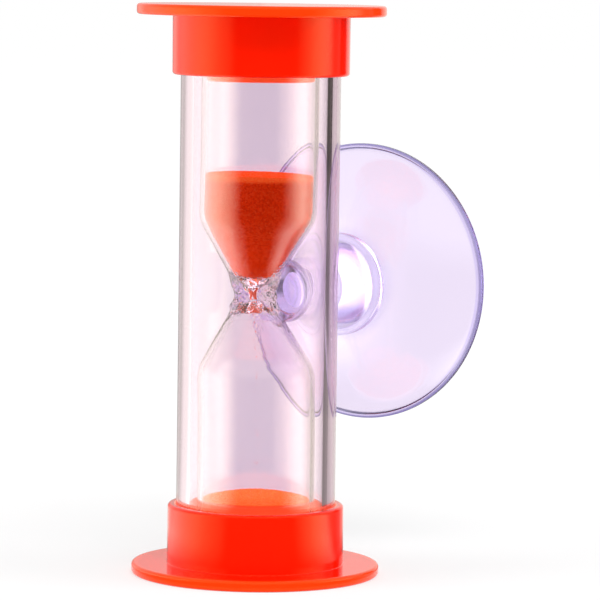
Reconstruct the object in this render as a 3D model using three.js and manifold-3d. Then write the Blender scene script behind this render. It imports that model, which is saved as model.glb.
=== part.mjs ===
// A sand timer for the shower or the wash basin: a glass double bulb of coloured sand in a clear
// tube between two flanged caps, with a soft suction cup buttoned through the tube's back wall.
// Millimetres, +Z up. The origin is the centre of the underside, and the cup points along +Y.

import * as THREE from 'three';
import { mergeVertices } from 'three/addons/utils/BufferGeometryUtils.js';
import Module from 'manifold-3d';

// Driving dimensions

const overallHeight = 89.3;
const fit = 0.3;               // clearance between pieces that seat in or on each other
const neckDrop = 0.55;         // how far the bulb's neck and the cup's hole lie below mid height

// caps
const flangeDiameter = 39;
const flangeThickness = 1.7;
const flangeRounding = 0.5;
const flangeFillet = 0.4;      // where the collar meets the flange
const capHeight = 11;
const capFloor = 2.2;          // thickness under the tube and the bulb
const collarWall = 1.1;
const collarRounding = 0.5;
const seatRingHeight = 4;      // inner ring that centres the tube and the bulb

// clear tube
const tubeDiameter = 25;
const tubeWall = 2;

// glass bulb, heights counted from the middle of its neck
const bulbDiameter = 18.4;
const bulbWall = 0.65;
const shoulderHeight = 11.9;   // where the cylinder's wall turns in to the cone
const shoulderRounding = 5;
const funnelHeight = 2.9;      // where the cone turns in to the funnel's floor
const funnelDiameter = 6.4;
const funnelRounding = 2;
const throatHeight = 1.1;      // where the floor turns down in to the bore
const throatRounding = 1.5;
const boreDiameter = 1.1;

// stoppers in the bulb's ends
const stopperHead = 1;
const stopperReach = 1.7;      // how far a stopper shows past the cap's rim
const stopperRounding = 0.4;

// sand
const sandLevel = 18.7;         // edge of the upper surface over the middle of the neck
const sandDish = 0.6;          // depth of the dish that the running sand leaves
const streamDiameter = 0.45;
const heapDiameter = 15;
const heapHeight = 1.3;

// suction cup, lengths counted outward along its own axis
const neckDiameter = 6;
const neckLength = 4.5;        // free length between the tube and the hub
const headDiameter = 10;
const headThickness = 4.2;
const headRounding = 1.6;
const headEdgeRounding = 0.4;
const hubEndDiameter = 9.4;
const hubDiameter = 14.4;      // where the hub's cone meets the bead
const hubLength = 7.2;
const hubRounding = 0.7;
const beadDiameter = 16.6;     // stepped ring round the hub's base
const beadHeight = 1.3;
const beadRounding = 0.5;
const skirtDiameter = 45;
const skirtHeight = 7.8;
const hollowDepth = 6.3;
const rimThickness = 0.9;
const rimLand = 1;             // flat ring that seals on the wall

// What follows from them

const middle = overallHeight / 2 - neckDrop;
const tubeRadius = tubeDiameter / 2;
const tubeBore = tubeRadius - tubeWall;
const bulbRadius = bulbDiameter / 2;
const bulbBore = bulbRadius - bulbWall;
const boreRadius = boreDiameter / 2;
const collarRadius = tubeRadius + fit + collarWall;
const seatHeight = capFloor + fit;
const bulbEnd = seatHeight + stopperHead + fit;
const upperReach = overallHeight - bulbEnd - middle;
const lowerReach = middle - bulbEnd;
const stopperEnd = capHeight + stopperReach;
const hubEnd = tubeRadius + neckLength;
const hubBase = hubEnd + hubLength;
const rimPlane = hubBase + skirtHeight;

// Shapes

// The corners of an outline in the half plane of radius and height. A corner is [radius, height]
// or [radius, height, rounding], and a rounded corner becomes an arc tangent to both its sides.
function outline(corners, arcSteps = 3) {
  const points = [];
  corners.forEach(([radius, height, rounding], i) => {
    const corner = new THREE.Vector2(radius, height);
    if (!rounding) {
      points.push(corner);
      return;
    }
    const [fromX, fromY] = corners[(i + corners.length - 1) % corners.length];
    const [toX, toY] = corners[(i + 1) % corners.length];
    const back = new THREE.Vector2(fromX, fromY).sub(corner).normalize();
    const ahead = new THREE.Vector2(toX, toY).sub(corner).normalize();
    const halfAngle = Math.acos(back.dot(ahead)) / 2;
    const start = corner.clone().addScaledVector(back, rounding / Math.tan(halfAngle));
    const inward = back.clone().add(ahead).normalize();
    const centre = corner.clone().addScaledVector(inward, rounding / Math.sin(halfAngle));
    const turn = (Math.PI - 2 * halfAngle) * Math.sign(ahead.cross(back));
    for (let step = 0; step <= arcSteps; step += 1) {
      points.push(start.clone().rotateAround(centre, (turn * step) / arcSteps));
    }
  });
  return points;
}

// The same corners moved sideways by a distance, to the left of their direction. Every corner
// between the ends is rounded, and its arc keeps its centre.
function offset(corners, distance) {
  const sides = corners.slice(1).map(([toX, toY], i) => {
    const [fromX, fromY] = corners[i];
    const along = new THREE.Vector2(toX - fromX, toY - fromY).normalize();
    const start = new THREE.Vector2(fromX - along.y * distance, fromY + along.x * distance);
    return { start, along, end: [toX - along.y * distance, toY + along.x * distance] };
  });
  const moved = sides.slice(1).map((next, i) => {
    const { start, along } = sides[i];
    const reach = next.start.clone().sub(start).cross(next.along) / along.cross(next.along);
    const meet = start.clone().addScaledVector(along, reach);
    return [meet.x, meet.y, corners[i + 1][2] - distance * Math.sign(along.cross(next.along))];
  });
  return [sides[0].start.toArray(), ...moved, sides.at(-1).end];
}

// A curve from one point to another that leaves and arrives along the lines through a third.
function sweep(from, via, to, steps) {
  const ends = [from, via, to].map(([radius, height]) => new THREE.Vector2(radius, height));
  return new THREE.QuadraticBezierCurve(...ends).getPoints(steps);
}

// A solid of revolution about Z.
function revolve(points, segments) {
  const closed = points[0].x > 0 ? [...points, points[0]] : points;
  return new THREE.LatheGeometry(closed, segments).rotateX(Math.PI / 2);
}

const wasm = await Module();
wasm.setup();

function solid(geometry) {
  const bare = geometry.clone();
  bare.deleteAttribute('normal');
  bare.deleteAttribute('uv');
  const merged = mergeVertices(bare);
  return new wasm.Manifold(new wasm.Mesh({
    numProp: 3,
    vertProperties: new Float32Array(merged.getAttribute('position').array),
    triVerts: new Uint32Array(merged.getIndex().array),
  }));
}

function cut(body, tool) {
  const mesh = solid(body).subtract(solid(tool)).getMesh();
  const geometry = new THREE.BufferGeometry();
  geometry.setAttribute('position', new THREE.BufferAttribute(mesh.vertProperties, 3));
  geometry.setIndex(new THREE.BufferAttribute(mesh.triVerts, 1));
  geometry.computeVertexNormals();
  return geometry;
}

// Caps: a flange to stand on, a collar round the tube and a ring inside it

function cap() {
  const ringInside = bulbRadius + fit;
  const ringOutside = tubeBore - fit;
  const ringTop = capFloor + seatRingHeight;
  const flangeRadius = flangeDiameter / 2;
  return revolve(outline([
    [0, 0],
    [flangeRadius, 0, flangeRounding],
    [flangeRadius, flangeThickness, flangeRounding],
    [collarRadius, flangeThickness, flangeFillet],
    [collarRadius, capHeight, collarRounding],
    [tubeRadius + fit, capHeight],
    [tubeRadius + fit, capFloor],
    [ringOutside, capFloor],
    [ringOutside, ringTop],
    [ringInside, ringTop],
    [ringInside, capFloor],
    [0, capFloor],
  ]), 54);
}

// Clear tube: plain ends, and one hole for the suction cup's neck

function tube() {
  const wall = revolve(outline([
    [tubeBore, seatHeight],
    [tubeRadius, seatHeight],
    [tubeRadius, overallHeight - seatHeight],
    [tubeBore, overallHeight - seatHeight],
  ]), 72);
  const drill = new THREE.CylinderGeometry(neckDiameter / 2 + fit, neckDiameter / 2 + fit, 4 * tubeWall, 40);
  drill.translate(0, tubeRadius - tubeWall / 2, middle);
  return cut(wall, drill);
}

// Glass bulb: one half's cavity from the middle of the bore out to the open end, over the neck

const cavity = (reach) => [
  [boreRadius, 0],
  [boreRadius, throatHeight, throatRounding],
  [funnelDiameter / 2, funnelHeight, funnelRounding],
  [bulbBore, shoulderHeight, shoulderRounding],
  [bulbBore, reach],
];

const mirrored = (corners) => corners.map(([radius, height, rounding]) => [radius, -height, rounding]).reverse();
const raised = (points) => points.map(({ x, y }) => new THREE.Vector2(x, y + middle));

function bulb() {
  const inside = (reach) => cavity(reach).slice(1);
  const outside = (reach) => offset(cavity(reach), -bulbWall).slice(1);
  return revolve(raised(outline([
    ...mirrored(outside(lowerReach)),
    ...outside(upperReach),
    ...inside(upperReach).reverse(),
    ...mirrored(inside(lowerReach)).reverse(),
  ])), 32);
}

// Stoppers: a plug in the bulb's bore under a head as wide as the glass

function stopper() {
  const plugRadius = bulbBore - fit;
  return revolve(outline([
    [0, seatHeight],
    [bulbRadius, seatHeight, stopperRounding],
    [bulbRadius, seatHeight + stopperHead, stopperRounding],
    [plugRadius, seatHeight + stopperHead],
    [plugRadius, stopperEnd, stopperRounding],
    [0, stopperEnd],
  ], 2), 36);
}

// Sand: what is left above the neck, the falling stream and the heap below

const sandSide = offset(cavity(upperReach), fit);
const sandTip = sandSide[1][1];

function upperSand() {
  const [, tip, floor, shoulder] = sandSide;
  return revolve(raised(outline([
    [0, sandTip],
    [tip[0], sandTip],
    floor,
    shoulder,
    [bulbBore - fit, sandLevel],
    [0, sandLevel - sandDish],
  ])), 36);
}

const heapFoot = stopperEnd + fit;
const heapTop = heapFoot + heapHeight;

function stream() {
  const top = middle + sandTip - fit;
  const foot = heapTop + fit;
  return revolve(outline([
    [0, foot],
    [streamDiameter / 2, foot],
    [streamDiameter / 2, top],
    [0, top],
  ]), 12);
}

function heap() {
  const edge = heapDiameter / 2;
  const slope = sweep([edge, heapFoot + heapHeight / 6], [edge / 2, heapTop], [0, heapTop], 5);
  return revolve([new THREE.Vector2(0, heapFoot), new THREE.Vector2(edge, heapFoot), ...slope], 36);
}

// Suction cup: a head inside the tube, a neck through the hole, a hub and a hollow skirt.
// It is turned about its own axis, with heights counted from the tube's axis.

function suctionCup() {
  const neckRadius = neckDiameter / 2;
  const headRadius = headDiameter / 2;
  const skirtRadius = skirtDiameter / 2;
  const headSeat = tubeBore - fit;
  const headFace = headSeat - headThickness;
  const seatAt = (radius) => Math.sqrt(headSeat ** 2 - radius ** 2);
  const landInside = skirtRadius - rimLand;
  const hollowTop = rimPlane - hollowDepth;
  const front = outline([
    [0, headFace],
    [headRadius, headFace, headRounding],
    [headRadius, seatAt(headRadius), headEdgeRounding],
    [neckRadius, seatAt(neckRadius)],
    [neckRadius, hubEnd],
    [hubEndDiameter / 2, hubEnd, hubRounding],
    [hubDiameter / 2, hubBase - beadHeight],
    [beadDiameter / 2, hubBase - beadHeight, beadRounding],
  ]);
  const outerSkin = sweep(
    [beadDiameter / 2, hubBase],
    [skirtRadius * 0.74, hubBase + skirtHeight * 0.2],
    [skirtRadius, rimPlane - rimThickness],
    6,
  );
  const hollow = sweep(
    [landInside, rimPlane - rimThickness / 2],
    [skirtRadius * 0.66, hollowTop],
    [0, hollowTop],
    7,
  );
  const rim = [new THREE.Vector2(skirtRadius, rimPlane), new THREE.Vector2(landInside, rimPlane)];
  return revolve([...front, ...outerSkin, ...rim, ...hollow], 40);
}

// Materials

const finishes = {
  orange: new THREE.MeshStandardMaterial({ color: 0xf5320f, roughness: 0.18 }),
  acrylic: new THREE.MeshStandardMaterial({ color: 0xeeeaf2, roughness: 0.05, transparent: true, opacity: 0.25 }),
  glass: new THREE.MeshStandardMaterial({ color: 0xe6ecec, roughness: 0.03, transparent: true, opacity: 0.3 }),
  softClear: new THREE.MeshStandardMaterial({ color: 0xe4d8f6, roughness: 0.15, transparent: true, opacity: 0.5 }),
  sand: new THREE.MeshStandardMaterial({ color: 0xe4431a, roughness: 0.9 }),
};

// Assembly

const timer = new THREE.Group();

function add(name, geometry, material) {
  const mesh = new THREE.Mesh(geometry, material.clone());
  mesh.name = name;
  timer.add(mesh);
  return mesh;
}

function addUpsideDown(name, geometry, material) {
  const mesh = add(name, geometry, material);
  mesh.rotation.x = Math.PI;
  mesh.position.z = overallHeight;
}

add('bottom_cap', cap(), finishes.orange);
addUpsideDown('top_cap', cap(), finishes.orange);
add('outer_tube', tube(), finishes.acrylic);
add('glass_bulb', bulb(), finishes.glass);
add('lower_stopper', stopper(), finishes.orange);
addUpsideDown('upper_stopper', stopper(), finishes.orange);
add('upper_sand', upperSand(), finishes.sand);
add('sand_stream', stream(), finishes.sand);
add('lower_sand', heap(), finishes.sand);

const cup = add('suction_cup', suctionCup(), finishes.softClear);
cup.rotation.x = -Math.PI / 2;
cup.position.z = middle;

export default timer;
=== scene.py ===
"""The finish of a sand timer: glossy caps, clear tube, glass bulb, running sand and a soft suction cup.

Metres, in the frame's own axes: +Z up along the timer, +Y out of its back through the suction cup.
"""

import math
import random

import bmesh
import bpy
from mathutils import Matrix, Vector, noise


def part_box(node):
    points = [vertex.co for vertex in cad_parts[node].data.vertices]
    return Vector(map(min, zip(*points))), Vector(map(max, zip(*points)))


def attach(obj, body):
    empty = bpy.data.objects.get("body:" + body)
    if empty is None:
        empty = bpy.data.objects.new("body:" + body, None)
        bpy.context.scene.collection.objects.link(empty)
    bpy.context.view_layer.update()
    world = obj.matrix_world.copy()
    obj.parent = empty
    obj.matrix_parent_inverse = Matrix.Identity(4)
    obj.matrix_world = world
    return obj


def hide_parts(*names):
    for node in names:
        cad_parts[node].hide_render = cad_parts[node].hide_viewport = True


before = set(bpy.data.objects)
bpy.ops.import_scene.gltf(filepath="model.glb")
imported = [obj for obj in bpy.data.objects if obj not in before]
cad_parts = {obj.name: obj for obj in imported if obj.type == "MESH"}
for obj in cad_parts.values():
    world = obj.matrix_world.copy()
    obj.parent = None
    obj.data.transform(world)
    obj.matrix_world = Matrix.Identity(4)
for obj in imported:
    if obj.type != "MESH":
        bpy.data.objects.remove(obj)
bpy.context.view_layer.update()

MM = 0.001

# Sizes from the frame

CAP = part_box("bottom_cap")[1]
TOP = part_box("top_cap")[1].z
TUBE_LOW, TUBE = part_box("outer_tube")
BULB_LOW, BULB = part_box("glass_bulb")
PLUG_LOW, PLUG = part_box("lower_stopper")
CUP_LOW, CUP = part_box("suction_cup")
MIDDLE = (CUP_LOW.z + CUP.z) / 2        # height of the bulb's neck and of the suction cup's axis

# Sizes inside the pieces

FIT = 0.3 * MM              # clearance between two pieces
TUBE_WALL = 2 * MM
TUBE_BORE = TUBE.x - TUBE_WALL
GLASS = 0.65 * MM           # thickness of the bulb's wall
BULB_BORE = BULB.x - GLASS
GRAIN = 0.13 * MM           # radius of a loose grain of sand

# Directions seen from the timer: the viewer looks at its front from a little to the right

VIEW_ANGLE = math.radians(33)
TO_CAMERA = Vector((math.sin(VIEW_ANGLE), -math.cos(VIEW_ANGLE), 0))
TO_RIGHT = Vector((math.cos(VIEW_ANGLE), math.sin(VIEW_ANGLE), 0))


# Outlines and solids of revolution


ON_AXIS = 1e-9              # a radius under this is a point on the axis


def rounded(corners, steps=8):
    """Points of an outline with corners (radius, height[, rounding]).

    A rounding is an arc tangent to its sides. A point set just outside each arc keeps the shading of the
    straight sides straight.
    """
    ease = 0.02 * MM
    points = []
    for i, (radius, height, *rounding) in enumerate(corners):
        corner = Vector((radius, height))
        if not rounding or not rounding[0]:
            points.append(corner)
            continue
        back = (Vector(corners[i - 1][:2]) - corner).normalized()
        ahead = (Vector(corners[(i + 1) % len(corners)][:2]) - corner).normalized()
        half = math.acos(max(-1, min(1, back.dot(ahead)))) / 2
        start = corner + back * (rounding[0] / math.tan(half))
        centre = corner + (back + ahead).normalized() * (rounding[0] / math.sin(half))
        turn = math.copysign(math.pi - 2 * half, ahead.cross(back))
        points.append(start + back * ease)
        for step in range(steps + 1):
            points.append(centre + Matrix.Rotation(turn * step / steps, 2) @ (start - centre))
        points.append(points[-1] + ahead * ease)
    return points


def offset(corners, distance):
    """The same corners moved sideways to the left of their direction. Each corner's arc keeps its centre."""
    sides = []
    for (r0, h0, *_), (r1, h1, *_) in zip(corners, corners[1:]):
        along = Vector((r1 - r0, h1 - h0)).normalized()
        side = Vector((-along.y, along.x)) * distance
        sides.append((Vector((r0, h0)) + side, along, Vector((r1, h1)) + side))
    moved = [tuple(sides[0][0])]
    for (start, along, _), (after, onward, _), corner in zip(sides, sides[1:], corners[1:]):
        bend = along.cross(onward)
        meet = start + along * ((after - start).cross(onward) / bend)
        moved.append((meet.x, meet.y, corner[2] - math.copysign(distance, distance * bend)))
    return moved + [tuple(sides[-1][2])]


def sweep(start, via, end, steps=16):
    """A curve that leaves and arrives along the lines through a third point."""
    a, b, c = Vector(start), Vector(via), Vector(end)
    return [a.lerp(b, t).lerp(b.lerp(c, t), t) for t in (i / steps for i in range(steps + 1))]


def finer(points, step, near_zero=None):
    """The same outline with points no further apart than a step, which may be finer near height 0."""
    reach = 4.5 * MM
    out = []
    for a, b in zip(points, points[1:]):
        close = near_zero and abs(a.y) < reach
        count = max(1, math.ceil((b - a).length / (near_zero if close else step)))
        out += [a.lerp(b, i / count) for i in range(count)]
    return out + [points[-1]]


def revolve(name, points, segments, warp=None, sharp=35):
    """A solid of revolution about Z. warp(angle, radius, height) gives a point's new radius and height."""
    closed_by_axis = points[0].x < ON_AXIS
    rings, verts = [], []
    for point in points:
        if point.x < ON_AXIS:
            rings.append([len(verts)] * segments)
            verts.append((0, 0, warp(0, 0, point.y)[1] if warp else point.y))
            continue
        rings.append(list(range(len(verts), len(verts) + segments)))
        for i in range(segments):
            angle = 2 * math.pi * i / segments
            radius, height = warp(angle, *point) if warp else point
            verts.append((radius * math.cos(angle), radius * math.sin(angle), height))
    pairs = list(zip(rings, rings[1:]))
    if not closed_by_axis:
        pairs.append((rings[-1], rings[0]))
    faces = []
    for low, high in pairs:
        for i in range(segments):
            j = (i + 1) % segments
            corners = [low[i], low[j], high[j], high[i]]
            face = [v for k, v in enumerate(corners) if v != corners[k - 1]]
            if len(face) > 2:
                faces.append(face)
    return mesh_object(name, verts, faces, sharp)


def mesh_object(name, verts, faces, sharp=35):
    """A smooth-shaded object whose edges are sharp over an angle in degrees."""
    mesh = bpy.data.meshes.new(name)
    mesh.from_pydata(verts, [], faces)
    mesh.validate()
    mesh.shade_smooth()
    mesh.set_sharp_from_angle(angle=math.radians(sharp))
    made = bpy.data.objects.new(name, mesh)
    bpy.context.scene.collection.objects.link(made)
    return made


def place(piece, matrix):
    """Moves the mesh itself, so the piece stays at the origin as the frame's nodes do."""
    piece.data.transform(matrix)
    return piece


def fit_piece(piece, finish, slot, body, *nodes):
    """Gives a piece its finish and its body, and hides the nodes that it stands for. The slot is not used."""
    piece.data.materials.append(finish)
    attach(piece, body)
    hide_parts(*nodes)


# Shader maths


class Value:
    """A shader socket that takes part in Python arithmetic by adding Math nodes."""

    def __init__(self, finish, socket):
        self.finish = finish
        self.socket = socket

    def maths(self, operation, *values):
        made = self.finish.node("ShaderNodeMath", {"operation": operation}, dict(enumerate(values)))
        return made[0]

    def __add__(self, other):
        return self.maths("ADD", self, other)

    def __sub__(self, other):
        return self.maths("SUBTRACT", self, other)

    def __rsub__(self, other):
        return self.maths("SUBTRACT", other, self)

    def __mul__(self, other):
        return self.maths("MULTIPLY", self, other)

    def __pow__(self, other):
        return self.maths("POWER", self, other)

    def __abs__(self):
        return self.maths("ABSOLUTE", self)

    def over(self, threshold):
        return self.maths("GREATER_THAN", self, threshold)

    def exponent(self):
        return self.maths("EXPONENT", self)

    def clamped(self):
        return self.maths("MAXIMUM", self.maths("MINIMUM", self, 1.0), 0.0)

    __radd__ = __add__
    __rmul__ = __mul__


class Finish:
    """One node material, or the world, and the nodes that make it."""

    def __init__(self, owner):
        owner.use_nodes = True
        self.owner = owner
        self.tree = owner.node_tree
        self.tree.nodes.clear()

    def node(self, kind, settings=None, sockets=None):
        """Adds a node with its settings, then its sockets' values or links, and returns its outputs."""
        made = self.tree.nodes.new(kind)
        for key, value in (settings or {}).items():
            if key == "stops":
                self.set_stops(made.color_ramp, value)
            else:
                setattr(made, key, value)
        for key, value in (sockets or {}).items():
            if isinstance(value, Value):
                self.tree.links.new(value.socket, made.inputs[key])
            else:
                made.inputs[key].default_value = value
        return [Value(self, socket) for socket in made.outputs]

    def named(self, kind, output):
        """One output, by its name, of a node with nothing to set."""
        return Value(self, self.tree.nodes.new(kind).outputs[output])

    def ray(self, fact):
        """A fact about the ray that arrives, by its name on the Light Path node."""
        return self.named("ShaderNodeLightPath", fact)

    @staticmethod
    def set_stops(ramp, stops):
        while len(ramp.elements) < len(stops):
            ramp.elements.new(1)
        for element, (position, colour) in zip(ramp.elements, stops):
            element.position = position
            element.color = (*colour, 1)

    def spot(self, stretch=(1, 1, 1), shift=(0, 0, 0), turn=0):
        """The place on the object, in metres: stretched along its axes, turned about Z, then shifted."""
        on_object = self.named("ShaderNodeTexCoord", "Object")
        sockets = {"Vector": on_object, "Location": shift, "Rotation": (0, 0, turn), "Scale": stretch}
        return self.node("ShaderNodeMapping", {}, sockets)[0]

    def height(self):
        return self.node("ShaderNodeSeparateXYZ", {}, {"Vector": self.spot()})[2]

    def length(self, vector):
        return self.node("ShaderNodeVectorMath", {"operation": "LENGTH"}, {0: vector})[1]

    def from_axis(self):
        """Distance from the timer's own axis, in metres."""
        return self.length(self.spot((1, 1, 0)))

    def scaled(self, vector, amount):
        return self.node("ShaderNodeVectorMath", {"operation": "SCALE"}, {0: vector, "Scale": amount})[0]

    def noise(self, scale, stretch=(1, 1, 1), detail=2.0, roughness=0.5):
        sockets = {"Vector": self.spot(stretch), "Scale": scale, "Detail": detail, "Roughness": roughness}
        return self.node("ShaderNodeTexNoise", {}, sockets)[0]

    def mix(self, amount, first, second):
        """A blend of two colours, each a colour or another node's output."""
        colours = [colour if isinstance(colour, Value) else (*colour, 1) for colour in (first, second)]
        return self.node("ShaderNodeMix", {"data_type": "RGBA"}, {0: amount, 6: colours[0], 7: colours[1]})[2]

    def ramp(self, amount, *stops):
        return self.node("ShaderNodeValToRGB", {"stops": stops}, {"Fac": amount})[0]

    def bump(self, height, depth):
        return self.node("ShaderNodeBump", {}, {"Height": height, "Distance": depth, "Strength": 1.0})[0]

    def glow(self, colour, strength):
        return self.node("ShaderNodeEmission", {}, {"Color": colour, "Strength": strength})[0]

    def blend(self, amount, first, second):
        return self.node("ShaderNodeMixShader", {}, {0: amount, 1: first, 2: second})[0]

    def tint(self, colour, density):
        """What a clear piece takes out of the light on its way through."""
        return self.node("ShaderNodeVolumeAbsorption", {}, {"Color": (*colour, 1), "Density": density})[0]

    def surface(self, shader, volume=None):
        sockets = {"Surface": shader}
        if volume:
            sockets["Volume"] = volume
        self.node("ShaderNodeOutputMaterial", {}, sockets)
        return self.owner

    def principled(self, sockets, volume=None):
        return self.surface(self.node("ShaderNodeBsdfPrincipled", {}, sockets)[0], volume)

    def keep_glow_in(self):
        """Leaves a faint glow out of the lamps that light the other pieces."""
        self.owner.cycles.emission_sampling = "NONE"


def new_finish(name):
    return Finish(bpy.data.materials.new(name))


# Finishes


BLACK = (0, 0, 0)
CLEAR = (1, 1, 1, 1)
GLASS_SHEEN = (0.95, 1.0, 0.68, 1)      # warm tone of what the clear walls mirror


def cap_plastic():
    """Glossy orange-red moulding: a faint flow in the colour, an uneven polish and fine rub marks.

    The socket has a painted glow for the light that scatters in it behind the clear tube, and the flange's
    rim has a painted highlight in a paler colour.
    """
    f = new_finish("cap_plastic")
    flow = f.noise(90, (1, 1, 0.35))
    rubs = f.noise(900, (1, 1, 7), 4, 0.65)
    polish = f.noise(420) * 0.7 + rubs * 0.3
    out = f.from_axis()
    rim_start = CAP.x - 1.3 * MM
    socket_end = TOP / 2 - 1.8 * MM
    # Painted glow in the socket, in place of the light that scatters in it behind the clear tube.
    socket_painted_glow = (1 - out.over(TUBE.x + FIT)) * (1 - abs(f.height() - TOP / 2).over(socket_end))
    # Painted highlight: the flange's rim is coloured paler where it catches more light.
    rim_painted_highlight = ((out - rim_start) * (1 / MM)).clamped()
    body = f.mix(flow, (0.75, 0.005, 0.0002), (0.79, 0.009, 0.0004))
    f.keep_glow_in()
    return f.principled({
        "Base Color": f.mix(rim_painted_highlight, body, (0.84, 0.035, 0.002)),
        "Emission Color": f.mix(socket_painted_glow, BLACK, (0.75, 0.11, 0.05)),
        "Emission Strength": 1.0,
        "Roughness": 0.07 + rubs * 0.10,
        "IOR": 1.5,
        "Specular IOR Level": 0.33,
        "Specular Tint": (1.0, 0.82, 0.25, 1),
        "Normal": f.bump(polish, 0.006 * MM),
    })


def stopper_plastic():
    """Satin orange-red bung, a little duller and paler than the caps, with a painted glow in its own colour
    for the light that reaches it through the glass round it.
    """
    f = new_finish("stopper_plastic")
    colour = f.mix(f.noise(200), (0.93, 0.075, 0.018), (0.97, 0.10, 0.025))
    grain = f.noise(1600, (1, 1, 1), 3)
    return f.principled({
        "Base Color": colour,
        "Roughness": 0.30 + grain * 0.25,
        # Painted glow: the bung shines in its own colour, in place of the light that reaches it through the
        # glass.
        "Emission Color": colour,
        "Emission Strength": 0.85,
        "Normal": f.bump(grain, 0.02 * MM),
    })


def clear_tube():
    """Extruded clear plastic: die lines along its length, light handling scratches and a mauve body."""
    f = new_finish("clear_tube")
    die_lines = f.noise(1500, (1, 1, 0.02), 2)
    scratches = f.noise(2600, (1, 1, 0.25), 6, 0.7)
    return f.principled({
        "Base Color": CLEAR,
        "Roughness": scratches ** 6 * 0.35,
        "IOR": 1.49,
        "Specular Tint": GLASS_SHEEN,
        "Transmission Weight": 1.0,
        "Normal": f.bump(die_lines, 0.0015 * MM),
    }, f.tint((0.71, 0.24, 0.50), 100))


def bulb_glass():
    """Thin lamp-worked glass, gently uneven from the flame, with beads and a faint painted glow that lightens
    the thick glass at the neck.
    """
    f = new_finish("bulb_glass")
    waves = f.noise(260, (1, 1, 0.6), 1) * 0.008
    away = abs(f.height() - MIDDLE) * (1 / MM)
    at_neck = (1.4 - away * 0.2).clamped()
    knot_painted_glow = (3.2 - away).clamped()
    beads = f.noise(1100, (1, 1, 1), 2) * at_neck * 0.3
    f.keep_glow_in()
    return f.principled({
        "Base Color": CLEAR,
        "Roughness": f.noise(1200) ** 5 * 0.2,
        "IOR": 1.5,
        "Specular Tint": GLASS_SHEEN,
        "Transmission Weight": 1.0,
        # Painted glow that lightens the thick glass of the knot round the neck.
        "Emission Color": f.mix(knot_painted_glow, BLACK, (0.018, 0.042, 0.034)),
        "Emission Strength": 1.0,
        "Normal": f.bump(waves + beads, 0.5 * MM),
    }, f.tint((0.71, 0.30, 0.50), 80))


def soft_pvc():
    """Clear soft moulding: lavender, with painted shade that deepens it in its hub and a painted dark line
    towards its rim, and a slightly hazy skin.
    """
    f = new_finish("soft_clear_pvc")
    haze = f.noise(700, (1, 1, 1), 4, 0.6)
    out = f.length(f.spot((1, 0, 1), (0, 0, -MIDDLE))) * (1 / CUP.x)
    # Painted shade: the hub's tone is deeper to dim the light through it, and the rim and edge tones paint a
    # dark line along the cup's rim; the head's tone is paler.
    head, hub, skirt = (0.88, 0.80, 0.98), (0.72, 0.63, 0.92), (0.905, 0.81, 0.985)
    rim, edge = (0.60, 0.51, 0.89), (0.17, 0.14, 0.36)
    inner = ((0.225, head), (0.235, hub), (0.30, hub), (0.42, skirt))
    outer = ((0.965, skirt), (0.972, rim), (0.98, rim), (0.988, edge))
    return f.principled({
        "Base Color": f.ramp(out, *inner, *outer),
        "Roughness": 0.03 + haze ** 2 * 0.16,
        "IOR": 1.52,
        "Specular IOR Level": 0.3,
        "Transmission Weight": 1.0,
        "Normal": f.bump(f.noise(260, (1, 1, 1), 2), 0.02 * MM),
    }, f.tint((0.76, 0.62, 0.97), 45))


def dyed_sand(name, dark, bright, glow, top, painted_top_glow):
    """Fine dyed grains: each its own tone and a rounded relief, with a painted glow for the light lost in the
    glass, painted brighter at the top as if lit from above.
    """
    f = new_finish(name)
    distance, tone = f.node("ShaderNodeTexVoronoi", {}, {"Vector": f.spot(), "Scale": 4200.0})[:2]
    shade, polish = f.node("ShaderNodeSeparateColor", {}, {"Color": tone})[:2]
    palest = tuple(min(1, c * 1.25 + 0.02) for c in bright)
    top_painted_light_share = ((f.height() - top) * (2 / MM) + 1).clamped()
    f.keep_glow_in()
    return f.principled({
        "Base Color": f.ramp(shade, (0.0, dark), (0.55, bright), (1.0, palest)),
        "Roughness": 0.55 + polish * 0.35,
        "Specular IOR Level": 0.1,
        # Painted light: a glow all over, brighter on the top surface.
        "Emission Color": f.mix(top_painted_light_share, glow, painted_top_glow),
        "Emission Strength": 1.0,
        "Normal": f.bump(1 - distance, 0.03 * MM),
    })


# Caps


def cap_shell(name):
    """Flange with a small gate mark, drafted collar and seat ring in one moulding, its flange down."""
    gate = 0.12 * MM
    flange = 1.7 * MM
    collar = CAP.x - 5.6 * MM
    draft = 0.05 * MM
    socket = TUBE.x + 0.05 * MM
    ring_in, ring_out = BULB.x + FIT, TUBE_BORE - FIT
    floor = TUBE_LOW.z - FIT
    ring_top = floor + 4 * MM
    return revolve(name, rounded([
        (0, gate),
        (0.5 * MM, gate, 0.1 * MM),
        (0.7 * MM, 0, 0.2 * MM),
        (CAP.x, 0, 0.5 * MM),
        (CAP.x, flange, 0.5 * MM),
        (collar, flange, 0.12 * MM),
        (collar - draft, CAP.z, 0.5 * MM),
        (socket, CAP.z, 0.2 * MM),
        (socket, floor),
        (ring_out, floor),
        (ring_out, ring_top, 0.3 * MM),
        (ring_in, ring_top, 0.3 * MM),
        (ring_in, floor),
        (0, floor),
    ]), 192)


def upside_down(piece):
    """The same piece for the timer's other end."""
    return place(piece, Matrix.Translation((0, 0, TOP)) @ Matrix.Rotation(math.pi, 4, "X"))


def add_caps():
    finish = cap_plastic()
    fit_piece(cap_shell("bottom_cap_moulding"), finish, "cap_plastic", "timer", "bottom_cap")
    upper = upside_down(cap_shell("top_cap_moulding"))
    fit_piece(upper, finish, "cap_plastic", "timer", "top_cap")


# Clear tube


HOLE = 3.3 * MM             # radius of the hole for the suction cup's neck
PATCH = 5.2 * MM            # half side of the patch of mesh round it
ACROSS = 16                 # steps across the patch
AROUND = 112                # steps round the rest of the tube
TO_HOLE = (0.3, 0.55, 0.75, 0.9, 1)     # rings from the patch's border to the hole, as shares of the way


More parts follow.
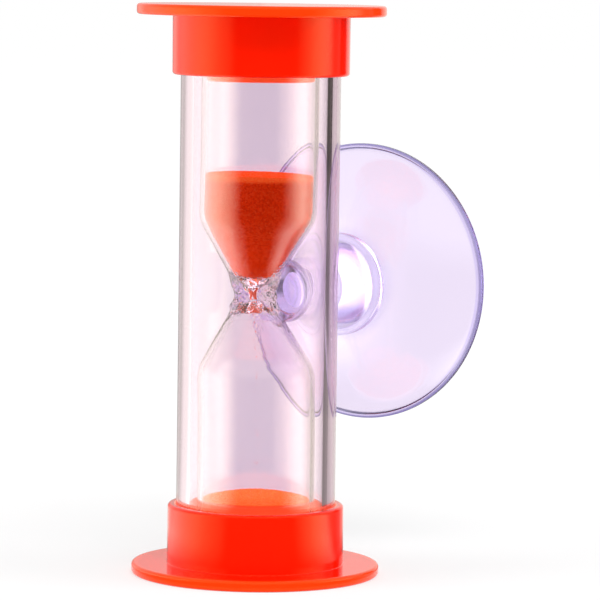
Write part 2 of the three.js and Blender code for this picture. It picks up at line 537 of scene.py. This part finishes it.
def tube_wall(radius, verts, faces):
    """Adds one wall of the tube, left open at the hole, and gives its low, high and hole rings."""
    side = math.asin(PATCH / radius)
    offsets = [PATCH * (2 * i / ACROSS - 1) for i in range(ACROSS + 1)]
    angles = [math.asin(x / radius) for x in offsets]
    angles += [side + (2 * math.pi - 2 * side) * i / AROUND for i in range(1, AROUND)]
    grid = []
    for z in [TUBE_LOW.z, *(MIDDLE + offset for offset in offsets), TUBE.z]:
        grid.append(list(range(len(verts), len(verts) + len(angles))))
        verts += [(radius * math.sin(angle), radius * math.cos(angle), z) for angle in angles]
    for row, (low, high) in enumerate(zip(grid, grid[1:])):
        in_patch = 1 <= row <= ACROSS
        for i in range(ACROSS if in_patch else 0, len(angles)):
            j = (i + 1) % len(angles)
            faces.append((low[i], low[j], high[j], high[i]))
    steps = range(ACROSS)
    edge = [(i, 0) for i in steps] + [(ACROSS, i) for i in steps]
    edge += [(ACROSS - i, ACROSS) for i in steps] + [(0, ACROSS - i) for i in steps]
    rings = [[grid[1 + j][i] for i, j in edge]]
    for share in TO_HOLE:
        rings.append(list(range(len(verts), len(verts) + len(edge))))
        for i, j in edge:
            at = Vector((offsets[i], offsets[j]))
            x, z = at.lerp(at.normalized() * HOLE, share)
            verts.append((x, math.sqrt(radius ** 2 - x ** 2), MIDDLE + z))
    for ring, inner in zip(rings, rings[1:]):
        faces += band(ring, inner)
    return grid[0], grid[-1], rings[-1]


def band(ring, other):
    count = len(ring)
    return [(ring[i], ring[(i + 1) % count], other[(i + 1) % count], other[i]) for i in range(count)]


def add_tube():
    """A straight tube, drilled through one wall, with exact normals so it bends light evenly."""
    verts, faces = [], []
    outside = tube_wall(TUBE.x, verts, faces)
    after_outside = len(faces)
    inside = tube_wall(TUBE_BORE, verts, faces)
    after_inside = len(faces)
    for ring, other in zip(outside, inside):
        faces += band(ring, other)
    tube = mesh_object("clear_tube_body", verts, faces)
    turn_outward(tube.data)
    normals = []
    for face in tube.data.polygons:
        for v in face.vertices:
            at = tube.data.vertices[v].co
            at_tube_end = abs(at.z - MIDDLE) > PATCH
            if face.index < after_outside:
                normal = Vector((at.x, at.y, 0))
            elif face.index < after_inside:
                normal = Vector((-at.x, -at.y, 0))
            elif at_tube_end:
                normal = face.normal
            else:
                normal = Vector((-at.x, 0, MIDDLE - at.z))
            normals.append(normal.normalized())
    tube.data.normals_split_custom_set(normals)
    fit_piece(tube, clear_tube(), "clear_tube", "timer", "outer_tube")


def turn_outward(mesh):
    shell = bmesh.new()
    shell.from_mesh(mesh)
    bmesh.ops.recalc_face_normals(shell, faces=shell.faces)
    shell.to_mesh(mesh)
    shell.free()


# Glass bulb


WAIST = 3.1 * MM            # outside radius of the glass gathered round the neck
KNOT = 4.4 * MM             # outside radius where that glass runs out into the cones
UPPER_REACH = BULB.z - MIDDLE
LOWER_REACH = MIDDLE - BULB_LOW.z


def cavity(reach):
    """One half's cavity, from the middle of the bore out to the open end, with heights from the neck."""
    return [
        (0.55 * MM, 0),
        (0.55 * MM, 1.1 * MM, 1.5 * MM),
        (3.2 * MM, 2.9 * MM, 2 * MM),
        (BULB_BORE, 11.9 * MM, 5 * MM),
        (BULB_BORE, reach),
    ]


def mirrored(corners):
    return [(radius, -height, *rounding) for radius, height, *rounding in reversed(corners)]


def raised(points):
    return [Vector((point.x, point.y + MIDDLE)) for point in points]


def hand_worked(angle, radius, height):
    """The flame leaves the neck a little out of round, to either side of its middle."""
    up = (height - MIDDLE) / (5 * MM)
    near = math.exp(-up * up)
    swell = 0.035 * math.cos(2 * angle + 0.6) + 0.02 * math.cos(3 * angle - 1.1 + 2 * up)
    return radius * (1 + near * swell), height


def gathered(angle, radius, height):
    """The gathered glass is lumpy outside, where the tongs and the flame have left it."""
    radius, height = hand_worked(angle, radius, height)
    is_outside = radius > 0.9 * WAIST
    if is_outside:
        up = (height - MIDDLE) / (2.6 * MM)
        at = Vector((radius * math.cos(angle), radius * math.sin(angle), height))
        lumps = 0.3 * noise.noise(at * 700) + 0.25 * noise.noise(at * 1100)
        radius += lumps * MM * math.exp(-up ** 4)
    return radius, height


def drift(piece):
    """The neck was pulled a little to one side, and what is in it follows."""
    pull = 0.55 * MM
    for vertex in piece.data.vertices:
        up = (vertex.co.z - MIDDLE) / (12 * MM)
        vertex.co -= TO_RIGHT * (pull * math.exp(-up * up))


def add_bulb():
    """The cavity's outline, the same outline a wall further out, and a gathered neck between the cones."""
    rim = 0.2 * MM

    def inside(reach):
        corners = cavity(reach)[1:]
        return corners[:-1] + [(*corners[-1], rim)]

    def outside(reach):
        _, _, throat, shoulder, end = offset(cavity(reach), -GLASS)
        share = (KNOT - throat[0]) / (shoulder[0] - throat[0])
        shelf = throat[1] + (shoulder[1] - throat[1]) * share
        return [(KNOT, shelf, 1.5 * MM), shoulder, (*end, rim)]

    corners = [
        *mirrored(outside(LOWER_REACH)),
        (WAIST, 0, 3 * MM),
        *outside(UPPER_REACH),
        *reversed(inside(UPPER_REACH)),
        *reversed(mirrored(inside(LOWER_REACH))),
    ]
    outline = finer(rounded(corners, 12), 1.2 * MM, 0.2 * MM)
    bulb = revolve("double_bulb", raised(outline), 180, gathered)
    drift(bulb)
    fit_piece(bulb, bulb_glass(), "bulb_glass", "timer", "glass_bulb")


# Stoppers


BUNG_END = PLUG.z - 0.8 * MM      # where the plug's face shows through the glass


def bung(name):
    """A headed plug that closes one end of the bulb, its head down."""
    plug = BULB_BORE - 0.06 * MM
    head = PLUG_LOW.z + 1 * MM
    return revolve(name, rounded([
        (0, PLUG_LOW.z),
        (BULB.x, PLUG_LOW.z, 0.3 * MM),
        (BULB.x, head, 0.3 * MM),
        (plug, head),
        (plug, BUNG_END, 0.5 * MM),
        (0, BUNG_END),
    ]), 144)


def add_stoppers():
    finish = stopper_plastic()
    fit_piece(bung("lower_bung"), finish, "stopper_plastic", "timer", "lower_stopper")
    upper = upside_down(bung("upper_bung"))
    fit_piece(upper, finish, "stopper_plastic", "timer", "upper_stopper")


# Sand


def grain_cloud(places, seed, size):
    """Verts and faces of one small uneven lump at each place."""
    draw = random.Random(seed)
    golden = (1 + 5 ** 0.5) / 2
    lump = [Vector(v).normalized() for v in (
        (-1, golden, 0), (1, golden, 0), (-1, -golden, 0), (1, -golden, 0),
        (0, -1, golden), (0, 1, golden), (0, -1, -golden), (0, 1, -golden),
        (golden, 0, -1), (golden, 0, 1), (-golden, 0, -1), (-golden, 0, 1),
    )]
    sides = [
        (0, 11, 5), (0, 5, 1), (0, 1, 7), (0, 7, 10), (0, 10, 11), (1, 5, 9), (5, 11, 4),
        (11, 10, 2), (10, 7, 6), (7, 1, 8), (3, 9, 4), (3, 4, 2), (3, 2, 6), (3, 6, 8),
        (3, 8, 9), (4, 9, 5), (2, 4, 11), (6, 2, 10), (8, 6, 7), (9, 8, 1),
    ]
    verts, faces = [], []
    for at in places:
        reach = size * draw.uniform(0.6, 1.25)
        start = len(verts)
        verts += [at + v * reach * draw.uniform(0.75, 1.2) for v in lump]
        faces += [tuple(start + i for i in side) for side in sides]
    return verts, faces


def join_grains(piece, places, seed, size=GRAIN):
    """Adds loose grains to a sand body's own mesh."""
    verts = [v.co.copy() for v in piece.data.vertices]
    faces = [tuple(polygon.vertices) for polygon in piece.data.polygons]
    more, sides = grain_cloud(places, seed, size)
    faces += [tuple(len(verts) + i for i in side) for side in sides]
    mesh = bpy.data.meshes.new(piece.name)
    mesh.from_pydata(verts + more, [], faces)
    mesh.shade_smooth()
    mesh.set_sharp_from_angle(angle=math.radians(50))
    piece.data = mesh


def roughen(piece, amount):
    """Moves a dense surface inwards by a fine noise, so it reads as packed grains."""
    scale = 3200
    vertices = piece.data.vertices
    moved = []
    for at, normal in [(v.co.copy(), v.normal.copy()) for v in vertices]:
        lift = noise.noise(at * scale) + 0.5 * noise.noise(at * scale * 2.3)
        moved.extend(at - normal * (amount * (0.5 + 0.5 * lift)))
    vertices.foreach_set("co", moved)


SAND_LEVEL = 18.9 * MM      # edge of the surface over the middle of the neck
SAND_LEAN = 0.018           # the surface falls to the viewer's right
LEAN_FROM = 12 * MM         # height over the neck from which the sand leans
GRAIN_REACH = 0.98          # loose grains lie within this share of a body of sand's radius
HEAP_RISE = 1.1 * MM
HEAP_TOP = BUNG_END + HEAP_RISE


def sand_lean(angle, radius, height):
    """Tips the top of the sand, and gives its side the same out of round as the glass."""
    radius, height = hand_worked(angle, radius, height)
    tip = max(0, (height - MIDDLE - LEAN_FROM) / (SAND_LEVEL - LEAN_FROM))
    return radius, height - tip * SAND_LEAN * radius * math.cos(angle - VIEW_ANGLE)


def sand_dish(radius):
    """Depth of the surface under its edge: a shallow dish over the neck, with a lip at the glass."""
    run = min(1, radius / (0.7 * BULB_BORE))
    return (0.15 + 0.45 * math.cos(run * math.pi / 2) ** 2) * MM


def inwards(edge, steps):
    """Radii from the edge to the axis, in even steps."""
    return [edge * (1 - i / steps) for i in range(steps + 1)]


def scattered(count, seed, reach, height_of):
    """Places for loose grains on a round surface."""
    draw = random.Random(seed)
    places = []
    for _ in range(count):
        angle, radius = draw.uniform(0, 2 * math.pi), reach * math.sqrt(draw.random())
        places.append(Vector((radius * math.cos(angle), radius * math.sin(angle), height_of(angle, radius))))
    return places


def add_upper_sand(finish):
    slack = 0.05 * MM
    bore, throat, floor, shoulder, _ = offset(cavity(UPPER_REACH), slack)
    edge = BULB_BORE - slack
    tip = -0.9 * MM
    lip = 0.1 * MM
    sunk = 0.03 * MM
    points = rounded([
        (0, tip),
        (bore[0], tip),
        throat,
        floor,
        shoulder,
        (edge, SAND_LEVEL - lip, lip),
        *((radius, SAND_LEVEL - sand_dish(radius)) for radius in inwards(edge, 12)[1:]),
    ])
    sand = revolve("upper_sand_fill", raised(finer(points, 0.22 * MM)), 220, sand_lean)
    roughen(sand, 0.03 * MM)

    def grain_height(angle, radius):
        return sand_lean(angle, radius, MIDDLE + SAND_LEVEL - sand_dish(radius) - sunk)[1]

    join_grains(sand, scattered(900, 4, edge * GRAIN_REACH, grain_height), 5)
    drift(sand)
    fit_piece(sand, finish, "orange_sand", "timer", "upper_sand")


def heap_height(radius):
    """Height of the heap over the stopper: a low mound with a blunt tip that thins out to the glass."""
    run = min(1, radius / (BULB_BORE * 0.97))
    return HEAP_RISE * math.cos(run * math.pi / 2) ** 1.1 + 0.12 * MM


def add_lower_sand(finish):
    edge = BULB_BORE - 0.06 * MM
    bottom = BUNG_END + 0.01 * MM
    sunk = 0.02 * MM
    slope = [Vector((radius, BUNG_END + heap_height(radius))) for radius in inwards(edge, 46)]
    foot = [Vector((0, bottom)), Vector((edge, bottom))]
    sand = revolve("lower_sand_heap", foot + slope, 220)
    roughen(sand, 0.03 * MM)

    def grain_height(_, radius):
        return BUNG_END + heap_height(radius) - sunk

    join_grains(sand, scattered(1100, 8, edge * GRAIN_REACH, grain_height), 9)
    fit_piece(sand, finish, "orange_sand", "timer", "lower_sand")


def add_stream(finish):
    """Grains in free fall: a core in the throat, and grains further apart as they gain speed."""
    draw = random.Random(12)
    top, foot = MIDDLE - 0.6 * MM, HEAP_TOP + 0.4 * MM
    core = revolve("falling_sand", raised(finer([
        Vector((0, -2.6 * MM)),
        Vector((0.07 * MM, -2.0 * MM)),
        Vector((0.16 * MM, -1.0 * MM)),
        Vector((0, -0.95 * MM)),
    ], 0.12 * MM)), 32)
    roughen(core, 0.04 * MM)
    places = []
    for _ in range(90):
        fall = draw.random() ** 2.6
        spread = (0.14 + 0.26 * fall) * MM
        angle, reach = draw.uniform(0, 2 * math.pi), spread * math.sqrt(draw.random())
        height = top + (foot - top) * fall
        places.append(Vector((reach * math.cos(angle), reach * math.sin(angle), height)))
    join_grains(core, places, 13, GRAIN / 2)
    drift(core)
    fit_piece(core, finish, "orange_sand", "timer", "sand_stream")


def add_sand():
    surface = MIDDLE + SAND_LEVEL - 0.7 * MM
    # Both sands carry a painted glow, with painted light on their top surfaces.
    packed = dyed_sand(
        "orange_sand",
        dark=(0.78, 0.022, 0.0006),
        bright=(0.96, 0.046, 0.002),
        glow=(0.27, 0.013, 0.0002),
        top=surface,
        painted_top_glow=(0.60, 0.085, 0.014),
    )
    # The heap is the same sand, painted lighter and with a stronger painted glow, as if more brightly lit.
    loose = dyed_sand(
        "heap_sand_painted_lighter",
        dark=(0.90, 0.11, 0.020),
        bright=(0.99, 0.19, 0.045),
        glow=(0.90, 0.15, 0.030),
        top=HEAP_TOP - 0.3 * MM,
        painted_top_glow=(0.95, 0.19, 0.045),
    )
    add_upper_sand(packed)
    add_lower_sand(loose)
    add_stream(packed)


# Suction cup


def add_cup():
    """A head behind the tube's wall, a neck in its hole, a stepped hub and a dished skirt with a flat rim.

    The outline holds (radius, distance from the tube's axis) and is turned about the cup's own axis.
    """
    reach = CUP.y
    radius = CUP.x
    neck = 3 * MM
    head = 5 * MM
    hub = 4.7 * MM
    bead = 8.3 * MM
    head_seat = TUBE_BORE - FIT
    seat_edge = math.sqrt(head_seat ** 2 - head ** 2)
    hub_end = TUBE.x + 4.5 * MM
    hub_base = hub_end + 7.2 * MM
    skirt_edge = (radius - 0.35 * MM, reach - 1.2 * MM)
    land = radius - 1 * MM
    land_edge = (land - 0.2 * MM, reach - 0.5 * MM)
    hollow_top = reach - 6.3 * MM
    front = rounded([
        (0, CUP_LOW.y),
        (head, CUP_LOW.y, 2.2 * MM),
        (head, seat_edge, 0.5 * MM),
        (neck, seat_edge + FIT, 0.3 * MM),
        (neck, hub_end, 0.5 * MM),
        (hub, hub_end, 0.7 * MM),
        (7.2 * MM, hub_base - 1.3 * MM, 0.3 * MM),
        (bead, hub_base - 1.25 * MM, 0.4 * MM),
        (bead, hub_base),
    ])
    skin = sweep((bead, hub_base), (radius * 0.74, hub_base + 1.56 * MM), skirt_edge, 24)[1:]
    rim = rounded([
        skirt_edge,
        (radius, reach - 0.85 * MM, 0.25 * MM),
        (radius, reach, 0.25 * MM),
        (land, reach, 0.2 * MM),
        land_edge,
    ], 5)
    hollow = sweep(land_edge, (radius * 0.66, hollow_top), (0, hollow_top), 28)
    cup = revolve("suction_cup_body", front + skin + rim[1:-1] + hollow, 192, sharp=55)
    place(cup, Matrix.Translation((0, 0, MIDDLE)) @ Matrix.Rotation(-math.pi / 2, 4, "X"))
    fit_piece(cup, soft_pvc(), "soft_clear_pvc", "cup", "suction_cup")


add_caps()
add_tube()
add_bulb()
add_stoppers()
add_sand()
add_cup()


# Camera


def aimed(place_at, target):
    """The matrix of a camera or lamp that stands at one place and looks at another."""
    return Matrix.Translation(place_at) @ (target - place_at).to_track_quat("-Z", "Y").to_matrix().to_4x4()


def add_camera():
    """Just over the timer's top, a little tipped, with the timer left of the middle."""
    lens = bpy.data.cameras.new("camera")
    lens.sensor_width = 36
    lens.lens = 228
    camera = bpy.data.objects.new("camera", lens)
    bpy.context.scene.collection.objects.link(camera)
    away, eye_height = 0.593, 0.0971
    aside, target_height = 0.00655, 0.0432
    tip = math.radians(0.8)
    place_at = TO_CAMERA * away + Vector((0, 0, eye_height))
    target = TO_RIGHT * aside + Vector((0, 0, target_height))
    camera.matrix_world = aimed(place_at, target) @ Matrix.Rotation(tip, 4, "Z")
    bpy.context.scene.camera = camera


# Studio


def shown_to_eye(f):
    """1 on rays that show a background: camera rays, and those that a gloss or a clear piece passes on."""
    return (f.ray("Is Camera Ray") + f.ray("Is Glossy Ray") + f.ray("Is Transmission Ray")).clamped()


def add_world():
    """White where it is seen, and less bright as a light."""
    light_level = 0.62
    world = bpy.data.worlds.new("studio")
    bpy.context.scene.world = world
    f = Finish(world)
    strength = light_level + shown_to_eye(f) * (1 - light_level)
    light = f.node("ShaderNodeBackground", {}, {"Color": CLEAR, "Strength": strength})[0]
    f.node("ShaderNodeOutputWorld", {}, {"Surface": light})


def add_floor():
    """A white sheet that keeps a faint shadow. It glows less near the timer, where lamps light it more."""
    reach = 12
    glow_share = 0.66
    glow_level = 1.24
    dimmed_by = 0.3
    f = new_finish("pale_floor")
    matt = f.node("ShaderNodeBsdfDiffuse", {}, {"Color": (0.86, 0.86, 0.86, 1)})[0]
    unlit = 1 - (f.from_axis() * -3).exponent() * dimmed_by
    glow = f.glow(f.scaled((1, 1, 1), unlit), glow_level)
    f.surface(f.blend(shown_to_eye(f) * glow_share, matt, glow))
    corners = [(-reach, -reach, 0), (reach, -reach, 0), (reach, reach, 0), (-reach, reach, 0)]
    sheet = mesh_object("floor", corners, [(0, 1, 2, 3)])
    sheet.data.materials.append(f.owner)


def around(degrees, distance, height):
    """A place at an angle to the right of the camera's side, as seen from the timer."""
    angle = math.radians(degrees)
    return (TO_CAMERA * math.cos(angle) + TO_RIGHT * math.sin(angle)) * distance + Vector((0, 0, height))


def show_where(f, shown, shader):
    """A finish that is clear apart from a share of the rays."""
    f.surface(f.blend(shown, f.node("ShaderNodeBsdfTransparent")[0], shader))


def add_sector(name, finish, first, last, near, far, tall, lift=0.0004, aside=0):
    """A sheet for the light's rays only: on the floor over a sector of angles, and standing at its far end.

    Its sides pass the timer's axis at a distance, as the light does that it stands for.
    """
    steps = max(4, round((last - first) / 4))
    verts, faces = [], []
    for i in range(steps + 1):
        angle = first + (last - first) * i / steps
        shift = around(angle - 90, aside, 0)
        verts += [shift + around(angle, *place_at) for place_at in ((near, lift), (far, lift), (far, tall))]
    for i in range(0, 3 * steps, 3):
        faces += [(i, i + 1, i + 4, i + 3), (i + 1, i + 2, i + 5, i + 4)]
    sheet = mesh_object(name, verts, faces)
    sheet.data.materials.append(finish)
    sheet.visible_camera = False
    sheet.visible_shadow = False
    sheet.visible_diffuse = False


# What the glossy pieces mirror: its level over the angle to the right of the camera, all round

SURROUND = (
    (-180, 0.8), (-170, 0.5), (-162, 0.5), (-155, 0.95), (-147, 1.2), (-135, 1.1), (-128, 1.4),
    (-120, 1.95), (-108, 2.4), (-90, 3.0), (-78, 3.1), (-70, 2.7), (-62, 2.1), (-52, 1.5),
    (-45, 1.1), (-40, 0.7), (-36, 0.3), (-33, 0.0), (46, 0.0), (54, 0.7), (62, 1.5),
    (68, 2.0), (76, 2.8), (84, 3.1), (92, 2.9), (98, 2.2), (103, 1.2), (108, 0.4),
    (114, 0.3), (145, 0.7), (155, 1.0), (180, 0.9),
)
BRIGHTEST = 4.0             # level of a full white in the ring's colours
WARM = (0.97, 1.0, 0.92)    # the colour of the mirrored light
MIRRORED = 0.4              # mirrored light as a share of the light on matt surfaces behind glass


def add_surround():
    """A glowing ring with a dark front, there for mirrored light and for matt surfaces behind glass."""
    f = new_finish("surround")
    facing = math.atan2(TO_CAMERA.y, TO_CAMERA.x)
    angle = f.node("ShaderNodeTexGradient", {"gradient_type": "RADIAL"}, {"Vector": f.spot(turn=-facing)})[1]
    stops = []
    for degrees, level in SURROUND:
        stops.append(((degrees + 180) / 360, [level / BRIGHTEST * tone for tone in WARM]))
    on_matt = f.ray("Diffuse Depth").clamped()
    off_base = (f.from_axis() * 30 - 0.5 + on_matt).clamped()
    share = (MIRRORED + on_matt * (1 - MIRRORED)) * off_base
    low_down = (1.2 - f.height() * 2).clamped()
    shown = (f.ray("Diffuse Depth") + f.ray("Glossy Depth")).clamped() * low_down
    show_where(f, shown, f.glow(f.scaled(f.ramp(angle, *stops), share), BRIGHTEST / MIRRORED))
    add_sector("surround", f.owner, -180, 180, near=0.021, far=1.3, tall=0.6)


def add_dark_strip():
    """A dark strip behind the timer, seen through the tube's edge and not through the bulb."""
    tube_surfaces = 4
    f = new_finish("dark_strip")
    before_matt = 1 - f.ray("Diffuse Depth").over(0.5)
    through_tube_only = 1 - f.ray("Transmission Depth").over(tube_surfaces + 0.5)
    depth = f.from_axis() * 0.5 + 0.35
    dark = f.node("ShaderNodeBsdfDiffuse", {}, {"Color": (0.01, 0.01, 0.01, 1)})[0]
    show_where(f, before_matt * through_tube_only * depth, dark)
    add_sector("dark_strip", f.owner, 123.5, 143.5, near=0.035, far=1.2, tall=0.5, lift=0.0007, aside=0.0107)


SOFTBOX_WATTS = 5


def add_softbox(name, place_at, width, height):
    """A soft lamp for matt surfaces, aimed at the timer's middle."""
    lamp = bpy.data.lights.new(name, "AREA")
    lamp.shape = "RECTANGLE"
    lamp.size = width
    lamp.size_y = height
    lamp.energy = SOFTBOX_WATTS
    box = bpy.data.objects.new(name, lamp)
    bpy.context.scene.collection.objects.link(box)
    box.matrix_world = aimed(place_at, Vector((0, 0, MIDDLE)))
    box.visible_glossy = False
    box.visible_transmission = False


def add_studio():
    add_world()
    add_floor()
    add_surround()
    add_dark_strip()
    add_softbox("left_softbox", around(-75, 0.75, 0.25), 0.5, 0.7)
    add_softbox("right_softbox", around(85, 0.75, 0.25), 0.5, 0.7)
    add_softbox("top_softbox", around(10, 0.55, 0.75), 0.6, 0.4)


add_camera()
add_studio()

scene = bpy.context.scene
scene.view_settings.view_transform = "Standard"
scene.cycles.max_bounces = 28
scene.cycles.transmission_bounces = 28
scene.cycles.glossy_bounces = 8
